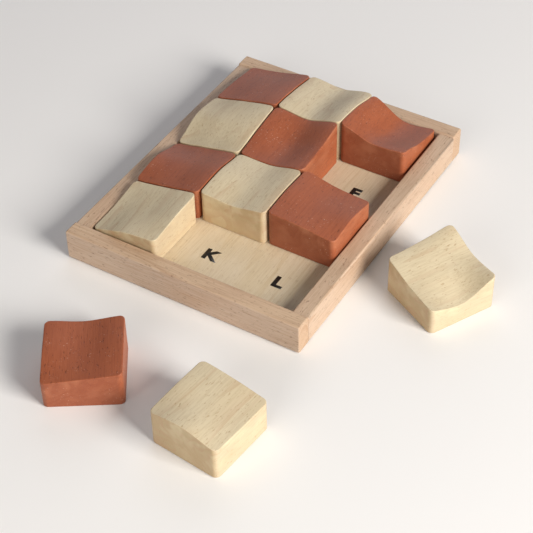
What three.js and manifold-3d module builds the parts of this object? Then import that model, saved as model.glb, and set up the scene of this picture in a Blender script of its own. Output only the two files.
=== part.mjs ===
// A landscape block puzzle: twelve square wooden blocks with wave-carved tops, in a shallow
// tray of three columns and four rows. Every block is cut from one rolling relief, so the
// tops run on from block to block only when each one is in its own cell. Nine blocks are in
// the tray. The other three lie on the table beside it.
//
// Frame: millimetres, +Z up, z = 0 on the table. The origin is on the underside of the front
// rail, at the middle of its length and width. +X runs along that rail to the right, and +Y
// runs to the back of the tray.

import * as THREE from "three";
import { mergeVertices } from "three/addons/utils/BufferGeometryUtils.js";
import Module from "manifold-3d";

const wasm = await Module();
wasm.setup();

// ---- Blocks and cells ----
const columns = 3;
const rows = 4;
const blockSide = 50;
const blockCorner = 3.6; // radius of a block's four upright edges
const fit = 1; // play between blocks, and between a block and a rail
const restGap = 0.2; // air left under a block that lies on the panel
const reliefSteps = 14; // facets along one side of a block's top

// ---- Tray ----
const railWidth = 12;
const railHeight = 22.5; // front and back rails
const sideRailDrop = 1; // the side rails' tops lie this much lower
const easing = 1.4; // radius on every long edge of a rail
const endEasing = 1; // radius round the ends of the front and back rails, under easing
const recess = 11; // from the front rail's top down to the panel
const panelThickness = 4;
const grooveDepth = 4; // how far the panel's edge enters a rail
const grooveClearance = 0.3;
const glueLine = 0.1; // between a side rail's end and the rail it butts against

// ---- Corner dowels ----
const dowelDiameter = 5;
const dowelInEndRail = 7.5; // length that enters the front or back rail
const dowelInSideRail = 12;
const dowelClearance = 0.15; // round a dowel, and past each of its ends

// ---- Relief: height of the wood above a block's underside, at every half cell ----
const heights = [
  // from the left rail to the right one, and from the back of the tray to its front
  [13, 17, 23, 21, 25, 11, 13],
  [16, 22, 27, 25, 31, 16, 18],
  [18, 24, 29, 27, 33, 25, 26],
  [20, 24, 26, 22, 29, 23, 15],
  [12, 17, 22, 22, 27, 22, 20],
  [18, 20, 25, 24, 28, 25, 25],
  [15, 19, 24, 23, 27, 26, 23],
  [11, 17, 23, 23, 27, 26, 23],
  [10, 17, 20, 23, 26, 29, 24],
];

// ---- Derived sizes ----
const pitch = blockSide + fit;
const innerWidth = columns * pitch + fit;
const innerLength = rows * pitch + fit;
const trayWidth = innerWidth + 2 * railWidth;
const trayLength = innerLength + 2 * railWidth;
const trayMiddle = (trayLength - railWidth) / 2; // y of the tray's centre
const frontFace = -railWidth / 2;
const sideRailHeight = railHeight - sideRailDrop;
const panelTop = railHeight - recess;
const panelBottom = panelTop - panelThickness;
const blankHeight = Math.max(...heights.flat()) + 5; // with room for a crest between two places

// Cells are lettered from the back left, row by row.
const letters = "ABCDEFGHIJKL";
const isStained = (index) => ((index % columns) + Math.floor(index / columns)) % 2 === 0;

// Blocks that have been pushed from the middle of their cell, and how far.
const pushed = {
  C: [-0.8, 0],
  E: [0, 0.5],
  H: [0, 1],
  I: [0, 3],
};

// A loose block's bounding half-width when it is turned, for keeping it clear of the tray.
const reach = (turn) =>
  (blockSide / 2) * (Math.abs(Math.cos(turn)) + Math.abs(Math.sin(turn)));

const degrees = THREE.MathUtils.degToRad;

// Loose blocks: which face of the tray each lies beside, its clear distance from that face,
// its place along the face from the tray's centre, and how far it is turned.
const loose = {
  F: { beside: "right", clear: 19, along: -25, turn: degrees(-28) },
  K: { beside: "front", clear: 47, along: -15, turn: degrees(33) },
  L: { beside: "front", clear: 55, along: 76, turn: degrees(-6) },
};

// ---- Materials ----
const wood = (color, roughness) =>
  new THREE.MeshStandardMaterial({ color, roughness, metalness: 0 });
const railWood = wood(0xcfa988, 0.6);
const panelWood = wood(0xe6d3ae, 0.65);
const naturalBlock = wood(0xe2cda0, 0.6);
const stainedBlock = wood(0xa5593a, 0.7);
const dowelWood = wood(0xd8bd93, 0.6);

// ---- Solids ----
function solid(geometry) {
  const bare = new THREE.BufferGeometry();
  const flat = geometry.index ? geometry.toNonIndexed() : geometry;
  bare.setAttribute("position", flat.getAttribute("position"));
  const merged = mergeVertices(bare, 1e-4);
  return new wasm.Manifold(
    new wasm.Mesh({
      numProp: 3,
      vertProperties: merged.attributes.position.array,
      triVerts: new Uint32Array(merged.index.array),
    }),
  );
}

function named(name, body, material) {
  const made = body.getMesh();
  const geometry = new THREE.BufferGeometry();
  geometry.setAttribute("position", new THREE.BufferAttribute(made.vertProperties, 3));
  geometry.setIndex(new THREE.BufferAttribute(made.triVerts, 1));
  geometry.computeVertexNormals();
  const mesh = new THREE.Mesh(geometry, material);
  mesh.name = name;
  return mesh;
}

// A box from its lowest corner to its highest.
function boxBetween(low, high) {
  const size = high.map((value, axis) => value - low[axis]);
  const middle = high.map((value, axis) => (value + low[axis]) / 2);
  return solid(new THREE.BoxGeometry(...size).translate(...middle));
}

// A rectangle centred on the origin, with round corners.
function roundedRectangle(width, height, radius) {
  const x = width / 2;
  const y = height / 2;
  const outline = new THREE.Shape();
  outline.moveTo(x, y - radius);
  outline.absarc(x - radius, y - radius, radius, 0, Math.PI / 2, false);
  outline.absarc(-x + radius, y - radius, radius, Math.PI / 2, Math.PI, false);
  outline.absarc(-x + radius, -y + radius, radius, Math.PI, 1.5 * Math.PI, false);
  outline.absarc(x - radius, -y + radius, radius, 1.5 * Math.PI, 2 * Math.PI, false);
  return outline;
}

// A bar with eased long edges, centred on the origin, its length along Z, and its two ends
// rounded by the radius endRadius, which may be 0.
function bar(width, height, length, endRadius) {
  const outline = roundedRectangle(width, height, easing);
  const blank = new THREE.ExtrudeGeometry(outline, {
    depth: length - 2 * endRadius,
    curveSegments: 4,
    bevelEnabled: endRadius > 0,
    bevelThickness: endRadius,
    bevelSize: endRadius,
    bevelOffset: -endRadius,
    bevelSegments: 3,
  });
  return blank.translate(0, 0, endRadius - length / 2);
}

const alongX = new THREE.Matrix4().makeBasis(
  new THREE.Vector3(0, 1, 0),
  new THREE.Vector3(0, 0, 1),
  new THREE.Vector3(1, 0, 0),
);
const alongY = new THREE.Matrix4().makeBasis(
  new THREE.Vector3(1, 0, 0),
  new THREE.Vector3(0, 0, 1),
  new THREE.Vector3(0, -1, 0),
);

// ---- Tray ----
const grooveLow = panelBottom - grooveClearance;
const grooveHigh = panelTop + grooveClearance;
const grooveX = innerWidth / 2 + grooveDepth + grooveClearance;
const innerFront = railWidth / 2;
const innerBack = innerFront + innerLength;
const groove = boxBetween(
  [-grooveX, innerFront - grooveDepth - grooveClearance, grooveLow],
  [grooveX, innerBack + grooveDepth + grooveClearance, grooveHigh],
);

// The dowels stand between the groove's end and the tray's outer face.
const sideRailX = (innerWidth + railWidth) / 2;
const dowelX = (grooveX + trayWidth / 2) / 2;
const dowelHeights = [sideRailHeight / 4, (3 * sideRailHeight) / 4];

// A round pin or hole along Y, from y = low to y = high.
function rod(radius, x, low, high, z) {
  const cylinder = new THREE.CylinderGeometry(radius, radius, high - low, 20);
  return solid(cylinder.translate(x, (low + high) / 2, z));
}

// The four corners: which side in x, and the joint's y with the way into the end rail.
const corners = [
  { name: "front_left", side: -1, joint: innerFront, outward: -1 },
  { name: "front_right", side: 1, joint: innerFront, outward: -1 },
  { name: "back_left", side: -1, joint: innerBack, outward: 1 },
  { name: "back_right", side: 1, joint: innerBack, outward: 1 },
];

// The two dowels of one corner, or their holes when extra is the dowel clearance.
function cornerRods(corner, extra) {
  const ends = [
    corner.joint + corner.outward * (dowelInEndRail + extra),
    corner.joint - corner.outward * (dowelInSideRail + extra),
  ];
  return dowelHeights.map((z) =>
    rod(dowelDiameter / 2 + extra, corner.side * dowelX, Math.min(...ends), Math.max(...ends), z),
  );
}

const cuts = corners
  .flatMap((corner) => cornerRods(corner, dowelClearance))
  .reduce((all, hole) => all.add(hole), groove);

function endRail(name, y) {
  const blank = bar(railWidth, railHeight, trayWidth, endEasing).applyMatrix4(alongX);
  const placed = solid(blank.translate(0, y, railHeight / 2));
  return named(name, placed.subtract(cuts), railWood);
}

function sideRail(name, side) {
  const blank = bar(railWidth, sideRailHeight, innerLength - 2 * glueLine, 0);
  blank.applyMatrix4(alongY);
  const placed = solid(blank.translate(side * sideRailX, trayMiddle, sideRailHeight / 2));
  return named(name, placed.subtract(cuts), railWood);
}

function tray() {
  const group = new THREE.Group();
  group.add(
    endRail("front_rail", 0),
    endRail("back_rail", innerLength + railWidth),
    sideRail("left_rail", -1),
    sideRail("right_rail", 1),
  );
  const panelX = innerWidth / 2 + grooveDepth;
  const panel = boxBetween(
    [-panelX, innerFront - grooveDepth, panelBottom],
    [panelX, innerBack + grooveDepth, panelTop],
  );
  group.add(named("floor_panel", panel, panelWood));
  for (const corner of corners) {
    cornerRods(corner, 0).forEach((dowel, level) => {
      const place = ["lower", "upper"][level];
      group.add(named(`dowel_${corner.name}_${place}`, dowel, dowelWood));
    });
  }
  return group;
}

// ---- Blocks ----
// How much each of four neighbouring heights counts, part of the way between the middle two.
const shares = (t) => [
  (-t + 2 * t ** 2 - t ** 3) / 2,
  (2 - 5 * t ** 2 + 3 * t ** 3) / 2,
  (t + 4 * t ** 2 - 3 * t ** 3) / 2,
  (t ** 3 - t ** 2) / 2,
];

// A smooth curve through evenly spaced heights, at a place counted in spaces from the first.
function curveThrough(line, place) {
  const last = line.length - 1;
  const before = THREE.MathUtils.clamp(Math.floor(place), 0, last - 1);
  return shares(place - before).reduce((sum, share, k) => {
    const neighbour = THREE.MathUtils.clamp(before - 1 + k, 0, last);
    return sum + share * line[neighbour];
  }, 0);
}

// The relief's height above a block's underside, at a place measured from the tray's centre.
function relief(x, y) {
  const across = columns + (2 * x) / pitch;
  const down = rows - (2 * y) / pitch;
  return curveThrough(heights.map((line) => curveThrough(line, across)), down);
}

// The centre of a cell, measured from the tray's centre.
function cellCentre(index) {
  const column = index % columns;
  const row = rows - 1 - Math.floor(index / columns);
  return [(column - (columns - 1) / 2) * pitch, (row - (rows - 1) / 2) * pitch];
}

// One block about its own upright axis, with its underside at z = 0.
function blockSolid(index) {
  const [cellX, cellY] = cellCentre(index);
  const outline = roundedRectangle(blockSide, blockSide, blockCorner);
  const prism = new THREE.ExtrudeGeometry(outline, {
    depth: blankHeight,
    curveSegments: 5,
    bevelEnabled: false,
  });
  const cover = new THREE.BoxGeometry(pitch, pitch, 1, reliefSteps, reliefSteps, 1);
  const points = cover.getAttribute("position");
  for (let i = 0; i < points.count; i++) {
    const x = points.getX(i);
    const y = points.getY(i);
    const top = points.getZ(i) > 0;
    points.setZ(i, top ? relief(cellX + x, cellY + y) : -1);
  }
  return solid(prism).intersect(solid(cover));
}

function placeInTray(mesh, index, [pushX, pushY]) {
  const [x, y] = cellCentre(index);
  mesh.position.set(x + pushX, trayMiddle + y + pushY, panelTop + restGap);
}

function placeLoose(mesh, { beside, clear, along, turn }) {
  const away = clear + reach(turn);
  if (beside === "right") mesh.position.set(trayWidth / 2 + away, trayMiddle + along, 0);
  else mesh.position.set(along, frontFace - away, 0);
  mesh.rotation.z = turn;
}

function blocks() {
  const group = new THREE.Group();
  [...letters].forEach((letter, index) => {
    const material = isStained(index) ? stainedBlock : naturalBlock;
    const block = named(`block_${letter}`, blockSolid(index), material);
    if (letter in loose) placeLoose(block, loose[letter]);
    else placeInTray(block, index, pushed[letter] ?? [0, 0]);
    group.add(block);
  });
  return group;
}

const part = new THREE.Group();
part.add(tray(), blocks());
export default part;
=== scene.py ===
# %% [markdown]
# # A landscape block puzzle, in wood
#
# Twelve square blocks lie in a shallow tray. Their tops are carved from one rolling relief,
# so the puzzle is to find each block's own cell. The parts that have to fit were modelled
# in CAD and come in as a fixed frame: it says where everything is. What is left for Blender
# is what the eye sees up close: crisp but softened rims, wood that changes from face to
# face as a saw cut does, faces turned up given a tone of painted light, printed letters, and light.

import math

import bmesh
import bpy
from mathutils import Euler, Matrix, Vector, noise


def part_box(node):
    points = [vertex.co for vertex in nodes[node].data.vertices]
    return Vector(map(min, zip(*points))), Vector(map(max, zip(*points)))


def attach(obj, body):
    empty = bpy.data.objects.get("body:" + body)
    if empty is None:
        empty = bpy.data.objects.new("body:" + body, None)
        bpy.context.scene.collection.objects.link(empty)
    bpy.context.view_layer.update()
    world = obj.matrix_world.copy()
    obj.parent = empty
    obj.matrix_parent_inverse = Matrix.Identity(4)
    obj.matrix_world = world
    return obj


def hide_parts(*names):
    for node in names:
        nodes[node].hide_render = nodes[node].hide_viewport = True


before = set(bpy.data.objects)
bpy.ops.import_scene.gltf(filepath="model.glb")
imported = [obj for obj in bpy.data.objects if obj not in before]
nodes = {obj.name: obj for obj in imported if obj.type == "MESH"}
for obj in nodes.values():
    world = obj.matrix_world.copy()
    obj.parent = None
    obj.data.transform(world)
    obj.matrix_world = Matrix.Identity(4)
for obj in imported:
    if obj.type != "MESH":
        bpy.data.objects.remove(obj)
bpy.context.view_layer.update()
print("the frame holds", len(nodes), "CAD nodes")

# %% [markdown]
# Everything in Blender is in metres, but a wood shop thinks in millimetres. One constant
# does the conversion, and every size below is written in millimetres times MM.

# %% Millimetres
MM = 0.001

tray_low, tray_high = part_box("front_rail")
tray_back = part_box("back_rail")[1]
panel_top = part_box("floor_panel")[1].z
tray_middle = (tray_low.y + tray_back.y) / 2
tray_size = (tray_high.x - tray_low.x, tray_back.y - tray_low.y)
print("tray", [round(side / MM, 1) for side in tray_size], "mm")

# %% [markdown]
# ## Camera
#
# A long lens a metre away, as for a product picture: the tray's far end is barely smaller
# than its near end. The camera looks from the front right, a little over 43 degrees down.
# It is turned by a degree about its own axis, because nobody holds a camera dead level.

# %% Camera
CAMERA_AZIMUTH = math.radians(31.78)
CAMERA_ELEVATION = math.radians(43.25)
CAMERA_ROLL = math.radians(-1.18)
CAMERA_DISTANCE = 1000.1 * MM
LOOKS_AT = Vector((30.46, 52.06, 0)) * MM
LENS = 102.1  # mm on a sensor 36 mm wide

flat = math.cos(CAMERA_ELEVATION)
towards_camera = Vector((
    math.sin(CAMERA_AZIMUTH) * flat,
    -math.cos(CAMERA_AZIMUTH) * flat,
    math.sin(CAMERA_ELEVATION),
))
camera = bpy.data.objects.new("camera", bpy.data.cameras.new("camera"))
camera.data.lens = LENS
camera.data.sensor_width = 36
camera.location = LOOKS_AT + towards_camera * CAMERA_DISTANCE
camera.rotation_mode = "QUATERNION"
roll = Euler((0, 0, CAMERA_ROLL)).to_quaternion()
camera.rotation_quaternion = (-towards_camera).to_track_quat("-Z", "Y") @ roll
bpy.context.scene.collection.objects.link(camera)
bpy.context.scene.camera = camera
print("camera at", [round(c / MM) for c in camera.location], "mm")

# %% [markdown]
# ## Floor and light
#
# The puzzle stands on a plain pale sweep. The key light is a large soft box low on the
# right: it leaves the right faces of the blocks bright, rakes over the carved tops so that
# their hollows show, and puts the front faces in shade. Two weak reflectors, one behind and
# one in front, and a dim white room fill that shade.

# %% Colours
def linear(hex_colour):
    """An sRGB hex colour as the linear RGBA that shaders work in."""
    parts = [int(hex_colour[i:i + 2], 16) / 255 for i in (1, 3, 5)]
    return [c / 12.92 if c <= 0.04045 else ((c + 0.055) / 1.055) ** 2.4 for c in parts] + [1]


# %% A small helper for shader nodes
def add(tree, kind, inputs=None, **settings):
    """Adds one node, sets its settings, and fills its sockets with values or with links."""
    node = tree.nodes.new(kind)
    for name, value in settings.items():
        setattr(node, name, value)
    for socket, value in (inputs or {}).items():
        if isinstance(value, bpy.types.NodeSocket):
            tree.links.new(value, node.inputs[socket])
        else:
            node.inputs[socket].default_value = value
    return node


def new_material(name):
    """An empty material, its node tree, and its Principled shader, already linked."""
    material = bpy.data.materials.new(name)
    material.use_nodes = True
    tree = material.node_tree
    tree.nodes.clear()
    shader = add(tree, "ShaderNodeBsdfPrincipled")
    add(tree, "ShaderNodeOutputMaterial", {"Surface": shader.outputs["BSDF"]})
    return material, tree, shader


# %% Floor
FLOOR_SIZE = 6.0
FLOOR_GAP = 0.2 * MM  # so that it never shares a plane with an underside

floor_mesh = bpy.data.meshes.new("floor")
bm = bmesh.new()
bmesh.ops.create_grid(bm, x_segments=1, y_segments=1, size=FLOOR_SIZE / 2)
bm.to_mesh(floor_mesh)
bm.free()
floor = bpy.data.objects.new("floor", floor_mesh)
floor.location.z = -FLOOR_GAP
bpy.context.scene.collection.objects.link(floor)

paper, tree, shader = new_material("matt white paper sweep")
shader.inputs["Base Color"].default_value = linear("#f4f3f1")
shader.inputs["Roughness"].default_value = 0.9
floor.data.materials.append(paper)

# %% Light
LIT_PLACE = Vector((30, 60, 0)) * MM  # between the tray and the loose blocks


def soft_box(name, azimuth, elevation, distance, size, power, colour):
    """A square area light that looks at the tray. Azimuth 0 is along +x, and 90 along +y."""
    light = bpy.data.lights.new(name, "AREA")
    light.size = size
    light.energy = power
    light.color = linear(colour)[:3]
    lamp = bpy.data.objects.new(name, light)
    turned = Euler((0, -math.radians(elevation), math.radians(azimuth))).to_matrix()
    towards = turned @ Vector((1, 0, 0))
    lamp.location = LIT_PLACE + towards * distance
    lamp.rotation_mode = "QUATERNION"
    lamp.rotation_quaternion = (-towards).to_track_quat("-Z", "Y")
    bpy.context.scene.collection.objects.link(lamp)
    return lamp


soft_box("key soft box", -9, 28, 2.2, 1.0, 64, "#fffbf6")
soft_box("back reflector", 116, 27, 1.8, 1.5, 8.5, "#f8f6ff")
soft_box("front reflector", -90, 24, 1.5, 0.9, 7.0, "#fffaf6")

world = bpy.data.worlds.new("dim white room")
world.use_nodes = True
background = world.node_tree.nodes["Background"]
background.inputs["Color"].default_value = linear("#f3f4f8")
background.inputs["Strength"].default_value = 0.13
bpy.context.scene.world = world

# The pale colours of wood look milky in Blender's filmic view, so the plain one is used.
bpy.context.scene.view_settings.view_transform = "Standard"

# %% [markdown]
# ## Wood as a solid
#
# Wood isn't a picture glued to a surface. A block is cut out of a log, so the same growth
# rings show as stripes on one face, as arcs on the end grain, and as contour lines where
# the carving cuts through them. So each piece carries an attribute named `timber`: where
# every point lay in the log, in metres, with the trunk's axis along its own y. The material
# reads rings and fibres from that place, and they run through the piece by themselves.

# %% Where a piece lay in the log, and which way its surface faces
def remember_timber(mesh, along_grain, pith, second_pith=None):
    """Stores every corner's place in the log, how squarely the surface there cuts the grain,
    and how far it faces up, which sets the painted light tone of the faces turned up. pith is the
    log's centre seen from the piece, and along_grain turns its grain on to y. A piece glued up from
    two staves has a second pith for x > 0."""
    places, ends, painted_top_light_amounts = [], [], []
    for face in mesh.polygons:
        centre = second_pith if second_pith and face.center.x > 0 else pith
        for index in face.vertices:
            vertex = mesh.vertices[index]
            places.extend(along_grain @ vertex.co - Vector(centre) * MM)
            ends.append(abs((along_grain @ vertex.normal).y) ** 4)
            # How far the surface faces up; from this the material paints the faces turned up in
            # their own tone: painted light.
            painted_top_light_amounts.append(max(0.0, vertex.normal.z) ** 2)
    mesh.attributes.new("timber", "FLOAT_VECTOR", "CORNER").data.foreach_set("vector", places)
    mesh.attributes.new("end_grain", "FLOAT", "CORNER").data.foreach_set("value", ends)
    mesh.attributes.new("painted_top_light", "FLOAT", "CORNER").data.foreach_set("value", painted_top_light_amounts)


# %% From a bmesh to a piece of the object
def make_piece(name, bm, body, material, place=Matrix.Identity(4), pith=(60, 0, 70),
               second_pith=None, along_grain=Matrix.Identity(4), stands_for=()):
    """Turns a bmesh into an object at the origin that rides on a CAD body."""
    bmesh.ops.recalc_face_normals(bm, faces=bm.faces)
    mesh = bpy.data.meshes.new(name)
    bm.to_mesh(mesh)
    bm.free()
    remember_timber(mesh, along_grain, pith, second_pith)
    mesh.transform(place)
    mesh.shade_smooth()
    mesh.materials.append(material)
    piece = bpy.data.objects.new(name, mesh)
    bpy.context.scene.collection.objects.link(piece)
    even = piece.modifiers.new("flat faces stay flat", "WEIGHTED_NORMAL")
    even.weight = 80
    even.keep_sharp = True
    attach(piece, body)
    if stands_for:
        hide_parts(*stands_for)
    return piece


# %% [markdown]
# ## Light hardwood
#
# The rails, the panel and the blocks are all pale, close-grained hardwood, sanded and left
# matt under a thin wax. Four things make it read as wood: slow growth rings, fine fibres
# that run with the grain, short dark pores, and a faint cloudiness from the sanding dust
# and from handling. Each scale below is worked out from a real size in millimetres.

# %% Wood material
def wood(name, body, top, end, cloud, late, fibre, pore, speck_and_sheen, rim_wear_and_highlight, ring_mm, ring_share,
         fibre_mm, fibre_share, pore_mm, pore_share, speck_and_sheen_share, roughness):
    """Sanded wood. body is the tone of its sides, and top that of the faces turned up, a tone of
    painted light from above. end is the end grain, cloud a broad soft tint, late the thin line that
    ends a year's growth, fibre the darker strands, pore the short open dashes, then pale specks
    that are part grit and part painted sheen, and a rim tone that is part rubbed wear and part
    painted highlight."""
    material, tree, shader = new_material(name)
    log = add(tree, "ShaderNodeAttribute", attribute_name="timber").outputs["Vector"]
    end_grain = add(tree, "ShaderNodeAttribute", attribute_name="end_grain").outputs["Fac"]
    # How far each face turns up, for the painted light tone of the faces turned up.
    painted_top_light_mask = add(tree, "ShaderNodeAttribute", attribute_name="painted_top_light").outputs["Fac"]
    rim = add(tree, "ShaderNodeAttribute", attribute_name="rim").outputs["Fac"]

    patterns = {
        # its size across the grain in mm, how far the trunk is squeezed, detail, crispness
        "strong years": (11, 0.02, 2, 0.5),
        "clouds": (22, 0.5, 3, 0.5),
        "fibres": (fibre_mm, 0.04, 4, 0.62),
        "pores": (pore_mm, 0.22, 1, 0.5),
        # the grain of the pale specks, part dust and part painted sheen
        "dust and sheen grain": (0.9, 1, 0, 0.5),
        # the patches where those specks gather, part dust and part painted sheen
        "dusty and sheeny places": (13, 1, 2, 0.5),
        # where the rim tone shows: part rubbed wear, part painted highlight
        "rubbed and highlit places": (9, 0.5, 2, 0.5),
    }
    noises = {}
    for pattern, (size_mm, squeeze, detail, crispness) in patterns.items():
        squeezed = add(tree, "ShaderNodeMapping", {"Vector": log, "Scale": (1, squeeze, 1)})
        noises[pattern] = add(tree, "ShaderNodeTexNoise", {
            "Vector": squeezed.outputs["Vector"], "Scale": 1 / (size_mm * MM),
            "Detail": detail, "Roughness": crispness}).outputs["Fac"]
    # Three of the patterns only show where they are strong: nothing below the first value.
    strong = {}
    for pattern, (nothing, full) in {
            "strong years": (0.4, 0.62), "pores": (0.63, 0.73), "dusty and sheeny places": (0.45, 0.6)}.items():
        strong[pattern] = add(tree, "ShaderNodeMapRange", {
            "Value": noises[pattern], "From Min": nothing, "From Max": full},
            interpolation_type="SMOOTHSTEP").outputs["Result"]

    # A ring runs almost straight up the trunk, so the log is squeezed along its axis.
    trunk = add(tree, "ShaderNodeMapping", {"Vector": log, "Scale": (1, 0.06, 1)})
    sway = add(tree, "ShaderNodeTexNoise", {
        "Vector": trunk.outputs["Vector"], "Scale": 1 / (30 * MM), "Detail": 2})
    swayed = add(tree, "ShaderNodeVectorMath", {
        0: trunk.outputs["Vector"], 1: sway.outputs["Color"], 2: (9 * MM,) * 3},
        operation="MULTIPLY_ADD")
    rings = add(tree, "ShaderNodeTexWave", {
        "Vector": swayed.outputs["Vector"],
        # One band of this texture is 2*pi/20 units wide at scale 1.
        "Scale": 2 * math.pi / 20 / (ring_mm * MM),
        "Distortion": 0.8, "Detail": 2, "Detail Scale": 1.4},
        wave_type="RINGS", rings_direction="Y", wave_profile="SAW").outputs["Fac"]

    # Each tint lies over the ones before it, where its pattern is strong enough.
    tints = [
        # the tone, its pattern, where that starts and is full, its share, where it is held
        # Painted light: faces turned up take the top tone, as light from above would show them.
        (top, painted_top_light_mask, 0, 1, 1, None),
        (end, end_grain, 0, 1, 1, None),
        (cloud, noises["clouds"], 0.42, 0.75, 0.6, None),
        (late, rings, 0.55, 1.0, ring_share, strong["strong years"]),
        (late, rings, 0.2, 0.95, 0.55, end_grain),
        (fibre, noises["fibres"], 0.4, 0.7, fibre_share, None),
        (pore, strong["pores"], 0, 1, pore_share, None),
        # Pale specks, part dust and part painted sheen.
        (speck_and_sheen, noises["dust and sheen grain"], 0.74, 0.8, speck_and_sheen_share, strong["dusty and sheeny places"]),
        # A lighter tone on the carved blocks' top rims: part rubbed wear, part painted highlight.
        (rim_wear_and_highlight, noises["rubbed and highlit places"], 0.4, 0.7, 0.5, rim),
    ]
    colour = linear(body)
    for tone, pattern, starts, full, share, held in tints:
        amount = add(tree, "ShaderNodeMapRange", {
            "Value": pattern, "From Min": starts, "From Max": full, "To Max": share},
            interpolation_type="SMOOTHSTEP").outputs["Result"]
        if held:
            amount = add(tree, "ShaderNodeMath", {0: amount, 1: held},
                         operation="MULTIPLY").outputs[0]
        colour = add(tree, "ShaderNodeMix", {"Factor": amount, 6: colour, 7: linear(tone)},
                     data_type="RGBA").outputs[2]
    tree.links.new(colour, shader.inputs["Base Color"])
    gloss = add(tree, "ShaderNodeMapRange", {
        "Value": noises["fibres"], "To Min": roughness + 0.08, "To Max": roughness - 0.06})
    tree.links.new(gloss.outputs["Result"], shader.inputs["Roughness"])
    furrows = add(tree, "ShaderNodeMath", {
        0: strong["pores"], 1: -1.2, 2: noises["fibres"]}, operation="MULTIPLY_ADD")
    surface = add(tree, "ShaderNodeBump", {
        "Height": furrows.outputs["Value"], "Strength": 0.6, "Distance": 0.15 * MM})
    tree.links.new(surface.outputs["Normal"], shader.inputs["Normal"])
    shader.inputs["IOR"].default_value = 1.45
    return material


# In each wood below, the top tone is painted light on the faces turned up.
# The rim tone is part wear and part painted highlight; only the carved blocks have a rim to carry
# it.
rail_wood = wood(
    "planed beech", body="#cbb39c", top="#d0b394", end="#c6a98c", cloud="#c4a487",
    late="#b48f70", fibre="#a98669", pore="#75503a", speck_and_sheen="#d9bfa4", rim_wear_and_highlight="#dccab4",
    ring_mm=5, ring_share=0.5, fibre_mm=0.9, fibre_share=0.5,
    pore_mm=0.75, pore_share=0.5, speck_and_sheen_share=0.0, roughness=0.5)
panel_wood = wood(
    "peeled birch panel", body="#e0d0b4", top="#e0d0b4", end="#cdb28a", cloud="#dcc9a6",
    late="#d4be98", fibre="#c6ae86", pore="#a98660", speck_and_sheen="#e5d4b8", rim_wear_and_highlight="#e0d0b4",
    ring_mm=9, ring_share=0.4, fibre_mm=0.9, fibre_share=0.45,
    pore_mm=0.7, pore_share=0.3, speck_and_sheen_share=0.0, roughness=0.5)
natural_wood = wood(
    "carved limewood", body="#cebb9c", top="#d8c9a9", end="#c0a880", cloud="#d2bf9b",
    late="#c09d7a", fibre="#bba681", pore="#a27a4c", speck_and_sheen="#dccbaa", rim_wear_and_highlight="#e2d5b0",
    ring_mm=7, ring_share=0.4, fibre_mm=0.9, fibre_share=0.42,
    pore_mm=0.7, pore_share=0.45, speck_and_sheen_share=0.0, roughness=0.5)
# Its pale pinkish-grey specks are part dust and part painted sheen.
stained_wood = wood(
    "limewood stained terracotta", body="#aa5e3a", top="#a55b3a", end="#9a5638",
    cloud="#9a5335", late="#8f4a2d", fibre="#87432a", pore="#4e271c", speck_and_sheen="#c9a48f",
    rim_wear_and_highlight="#bd7a58", ring_mm=7, ring_share=0.3, fibre_mm=0.9, fibre_share=0.45,
    pore_mm=0.7, pore_share=0.5, speck_and_sheen_share=0.6, roughness=0.5)
print("materials:", [m.name for m in bpy.data.materials])

# %% [markdown]
# ## The tray's rails
#
# The rails are plain planed bars. The CAD has already cut their grooves and dowel holes,
# and it would be a waste to model those again. So each rail is a merged copy of its CAD
# mesh: doubles are welded and flat triangles melt back into whole faces. Smooth shading
# with face-weighted normals then turns the few facets on each eased edge into one curve.

# %% Rails
TURN_X_TO_Y = Matrix.Rotation(math.radians(90), 4, "Z")


def merged_copy(node):
    """A clean bmesh of a CAD node, its triangles melted back into flat faces."""
    bm = bmesh.new()
    bm.from_mesh(nodes[node].data)
    bmesh.ops.remove_doubles(bm, verts=bm.verts, dist=0.002 * MM)
    bmesh.ops.dissolve_limit(bm, angle_limit=math.radians(0.5), verts=bm.verts, edges=bm.edges)
    return bm


RAILS = {
    # name: (where the log's centre was seen from this rail, in mm, is its grain along x?)
    "front_rail": ((-20, 0, -48), True),
    "back_rail": ((25, 0, -40), True),
    "left_rail": ((-150, 0, 60), False),
    "right_rail": ((130, 0, -45), False),
}
for name, (pith, grain_along_x) in RAILS.items():
    turn = TURN_X_TO_Y if grain_along_x else Matrix.Identity(4)
    rail = make_piece(f"{name}_planed", merged_copy(name), "tray", rail_wood,
                      pith=pith, along_grain=turn, stands_for=[name])
    print(rail.name, len(rail.data.polygons), "faces")

# %% Panel and dowels
panel = make_piece("floor_panel_sanded", merged_copy("floor_panel"), "tray",
                   panel_wood, pith=(20, 0, 160), stands_for=["floor_panel"])
dowel_wood = wood(
    "turned birch dowel", body="#cdb48c", top="#cdb48c", end="#bb9a6c", cloud="#c6aa80",
    late="#bd9f74", fibre="#ae8d60", pore="#936d44", speck_and_sheen="#dccbaa", rim_wear_and_highlight="#cdb48c",
    ring_mm=3, ring_share=0.6, fibre_mm=0.6, fibre_share=0.4,
    pore_mm=0.6, pore_share=0.3, speck_and_sheen_share=0.0, roughness=0.6)
for name in [n for n in nodes if n.startswith("dowel_")]:
    dowel = make_piece(f"{name}_turned", merged_copy(name), "tray", dowel_wood,
                       pith=(-60, 0, 30), stands_for=[name])

# %% [markdown]
# ## Letters
#
# Each cell has its letter printed on the panel in black. Blender's own plain sans font is
# close, once it is made bolder with the curve's offset and a little wider. The print is a
# film a twentieth of a millimetre thick, so the block above it never touches it.

# %% Letters
LETTER_HEIGHT = 10.2 * MM
LETTER_NUDGE = Vector((0.7, 0.8, 0)) * MM  # the stencil sat a little off the cell's middle
INK_THICKNESS = 0.05 * MM
PITCH = 51 * MM
COLUMNS, ROWS = 3, 4
LETTERS = "ABCDEFGHIJKL"

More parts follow.
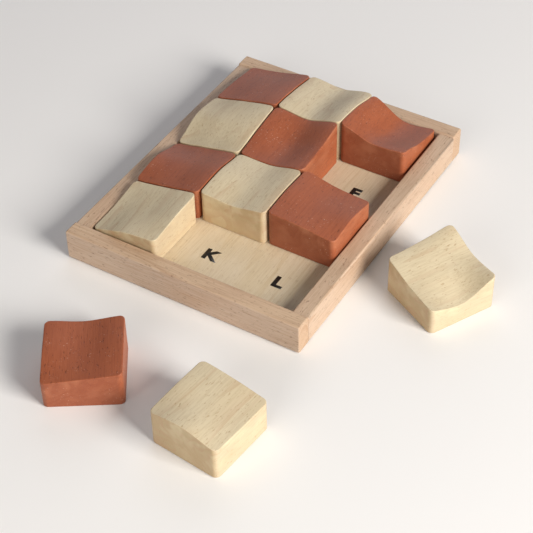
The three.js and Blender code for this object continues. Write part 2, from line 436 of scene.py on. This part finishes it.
letter_ink, tree, shader = new_material("matt black screen-print ink")
blot = add(tree, "ShaderNodeTexNoise", {
    "Vector": add(tree, "ShaderNodeTexCoord").outputs["Object"], "Scale": 1 / (1.2 * MM),
    "Detail": 3})
ink_tone = add(tree, "ShaderNodeMix", {
    "Factor": blot.outputs["Fac"], 6: linear("#0b0908"), 7: linear("#1d1815")},
    data_type="RGBA")
tree.links.new(ink_tone.outputs[2], shader.inputs["Base Color"])
shader.inputs["Roughness"].default_value = 0.5


def cell_centre(index):
    """The middle of a cell, measured from the tray's middle."""
    column, row = index % COLUMNS, ROWS - 1 - index // COLUMNS
    return Vector(((column - (COLUMNS - 1) / 2) * PITCH, (row - (ROWS - 1) / 2) * PITCH, 0))


def printed_letter(letter, index):
    """One bold letter as a thin closed film on the panel."""
    curve = bpy.data.curves.new(f"text_{letter}", "FONT")
    curve.body = letter
    curve.offset = 0.05
    text = bpy.data.objects.new(f"text_{letter}", curve)
    bpy.context.scene.collection.objects.link(text)
    bpy.context.view_layer.update()
    mesh = bpy.data.meshes.new_from_object(text.evaluated_get(bpy.context.evaluated_depsgraph_get()))
    bpy.data.objects.remove(text)
    bm = bmesh.new()
    bm.from_mesh(mesh)
    bpy.data.meshes.remove(mesh)
    low = Vector([min(v.co[k] for v in bm.verts) for k in range(3)])
    high = Vector([max(v.co[k] for v in bm.verts) for k in range(3)])
    bmesh.ops.translate(bm, verts=bm.verts, vec=-(low + high) / 2)
    tall = LETTER_HEIGHT / 0.782  # the bold capitals are 0.782 of the font's size
    bmesh.ops.scale(bm, verts=bm.verts, vec=(tall * 1.18, tall, 1))
    bmesh.ops.remove_doubles(bm, verts=bm.verts, dist=0.001 * MM)
    sheet = bmesh.ops.extrude_face_region(bm, geom=bm.faces[:])
    raised = [g for g in sheet["geom"] if isinstance(g, bmesh.types.BMVert)]
    bmesh.ops.translate(bm, verts=raised, vec=(0, 0, INK_THICKNESS))
    bmesh.ops.recalc_face_normals(bm, faces=bm.faces)
    place = Vector((0, tray_middle, panel_top)) + cell_centre(index) + LETTER_NUDGE
    bmesh.ops.translate(bm, verts=bm.verts, vec=place)
    made = bpy.data.meshes.new(f"letter_{letter}")
    bm.to_mesh(made)
    bm.free()
    made.materials.append(letter_ink)
    piece = bpy.data.objects.new(f"letter_{letter}", made)
    bpy.context.scene.collection.objects.link(piece)
    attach(piece, "tray")
    return piece


for index, letter in enumerate(LETTERS):
    printed_letter(letter, index)
print("letters printed:", LETTERS)

# %% [markdown]
# ## The blocks
#
# All twelve tops belong to one landscape. A carver would set it out as marked heights on a
# grid and then plane smooth curves through the marks, and the same is done here: a height
# at every half cell, in millimetres, and a curve that passes through each of them.

# %% The landscape
HEIGHTS = [
    # from the left rail to the right one, and from the back of the tray to its front
    [13, 17, 23, 21, 25, 11, 13],
    [16, 22, 27, 25, 31, 16, 18],
    [18, 24, 29, 27, 33, 25, 26],
    [20, 24, 26, 22, 29, 23, 15],
    [12, 17, 22, 22, 27, 22, 20],
    [18, 20, 25, 24, 28, 25, 25],
    [15, 19, 24, 23, 27, 26, 23],
    [11, 17, 23, 23, 27, 26, 23],
    [10, 17, 20, 23, 26, 29, 24],
]


def shares(t):
    """How much each of four neighbouring heights counts, between the middle two."""
    return (
        (-t + 2 * t**2 - t**3) / 2,
        (2 - 5 * t**2 + 3 * t**3) / 2,
        (t + 4 * t**2 - 3 * t**3) / 2,
        (t**3 - t**2) / 2,
    )


def curve_through(line, place):
    """A smooth curve through evenly spaced heights, at a place counted in spaces."""
    last = len(line) - 1
    before = min(max(math.floor(place), 0), last - 1)
    total = 0
    for k, share in enumerate(shares(place - before)):
        total += share * line[min(max(before - 1 + k, 0), last)]
    return total


def relief(x, y):
    """The height of a block's top above its underside, in metres, at a place in the tray."""
    across = COLUMNS + 2 * x / PITCH
    down = ROWS - 2 * y / PITCH
    return curve_through([curve_through(line, across) for line in HEIGHTS], down) * MM


# %% [markdown]
# A block starts as a sawn square. Its four upright edges are rounded with a bevel, and then
# its top and bottom rims are eased with a much smaller one. Straight cuts across it, one
# and a quarter millimetres apart, give the top enough points to be carved: each point is
# lifted by the landscape's height above the blank's own height. The underside stays flat.

# %% A sawn and rounded blank
BLOCK_SIDE = 50 * MM
BLOCK_CORNER = 3.6 * MM
RIM_EASING = 0.6 * MM
BLANK_HEIGHT = 20 * MM
CUT_SPACING = 1.25 * MM


def is_flat_at(face, height):
    return all(abs(v.co.z - height) < 1e-6 for v in face.verts)


def from_outline(x, y):
    """How far a point lies inside the block's round-cornered square outline."""
    straight = BLOCK_SIDE / 2 - BLOCK_CORNER
    dx, dy = abs(x) - straight, abs(y) - straight
    if dx > 0 and dy > 0:
        return BLOCK_CORNER - math.hypot(dx, dy)
    return BLOCK_CORNER - max(dx, dy)


def block_blank():
    """A square blank centred on the z axis with its underside at 0, finely cut up."""
    bm = bmesh.new()
    size = Matrix.Diagonal((BLOCK_SIDE, BLOCK_SIDE, BLANK_HEIGHT, 1))
    bmesh.ops.create_cube(bm, size=1, matrix=Matrix.Translation((0, 0, BLANK_HEIGHT / 2)) @ size)
    upright = [e for e in bm.edges if abs(e.verts[0].co.z - e.verts[1].co.z) > BLANK_HEIGHT / 2]
    bmesh.ops.bevel(bm, geom=upright, offset=BLOCK_CORNER, segments=8, profile=0.5,
                    affect="EDGES", material=-1)
    ends = [f for f in bm.faces if is_flat_at(f, 0) or is_flat_at(f, BLANK_HEIGHT)]
    rims = list({e for f in ends for e in f.edges})
    bmesh.ops.bevel(bm, geom=rims, offset=RIM_EASING, segments=3, profile=0.5,
                    affect="EDGES", material=-1)
    cuts = round(BLOCK_SIDE / CUT_SPACING)
    for axis in range(2):
        normal = Vector((axis == 0, axis == 1, 0))
        for i in range(1, cuts):
            at = normal * (i * BLOCK_SIDE / cuts - BLOCK_SIDE / 2)
            whole = bm.verts[:] + bm.edges[:] + bm.faces[:]
            bmesh.ops.bisect_plane(bm, geom=whole, plane_co=at, plane_no=normal, dist=1e-6)
    return bm


blank_mesh = bpy.data.meshes.new("block_blank")
blank = block_blank()
blank.to_mesh(blank_mesh)
blank.free()
print("blank:", len(blank_mesh.polygons), "faces")

# %% Carve a block and put it where the CAD has it
SANDING = 0.10 * MM  # how far the hand sanding strays from the true landscape
LOOSE_TURNS = {"F": -28, "K": 33, "L": -6}  # degrees, for the three blocks on the table
PITHS = {
    # where the log's centre was, seen from the block's own middle, in mm
    "A": (-70, 0, -40), "B": (35, 0, -75), "C": (-50, 0, -60), "D": (60, 0, -55),
    "E": (-85, 0, 30), "F": (-45, 0, -60), "G": (70, 0, -50), "H": (28, 0, -46),
    "I": (-60, 0, -70), "J": (-30, 0, -80), "K": (40, 0, -65), "L": (-75, 0, -38),
}


def carved_block(letter, index):
    """Carves one block's top, notes where its rim is, and puts the block in its place."""
    bm = bmesh.new()
    bm.from_mesh(blank_mesh)
    rim = bm.verts.layers.float.new("rim")
    centre = cell_centre(index)
    for v in bm.verts:
        if v.co.z > BLANK_HEIGHT / 2:
            # The top rim is marked here; the material gives it a lighter tone that is part wear and
            # part painted highlight.
            v[rim] = from_outline(v.co.x, v.co.y) < 0.9 * RIM_EASING
            lift = relief(centre.x + v.co.x, centre.y + v.co.y) - BLANK_HEIGHT
            stray = noise.noise((centre + v.co) / (14 * MM)) * SANDING
            v.co.z += lift + stray
    low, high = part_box(f"block_{letter}")
    turn = math.radians(LOOSE_TURNS.get(letter, 0))
    place = Matrix.Translation(((low.x + high.x) / 2, (low.y + high.y) / 2, low.z))
    stained = (index % COLUMNS + index // COLUMNS) % 2 == 0
    return make_piece(
        f"block_{letter}_carved", bm, f"block_{letter}_body",
        stained_wood if stained else natural_wood,
        place=place @ Matrix.Rotation(turn, 4, "Z"), pith=PITHS[letter],
        second_pith=(-50, 0, 62) if letter == "H" else None,
        stands_for=[f"block_{letter}"])


for index, letter in enumerate(LETTERS):
    block = carved_block(letter, index)
print("block faces:", len(block.data.polygons))
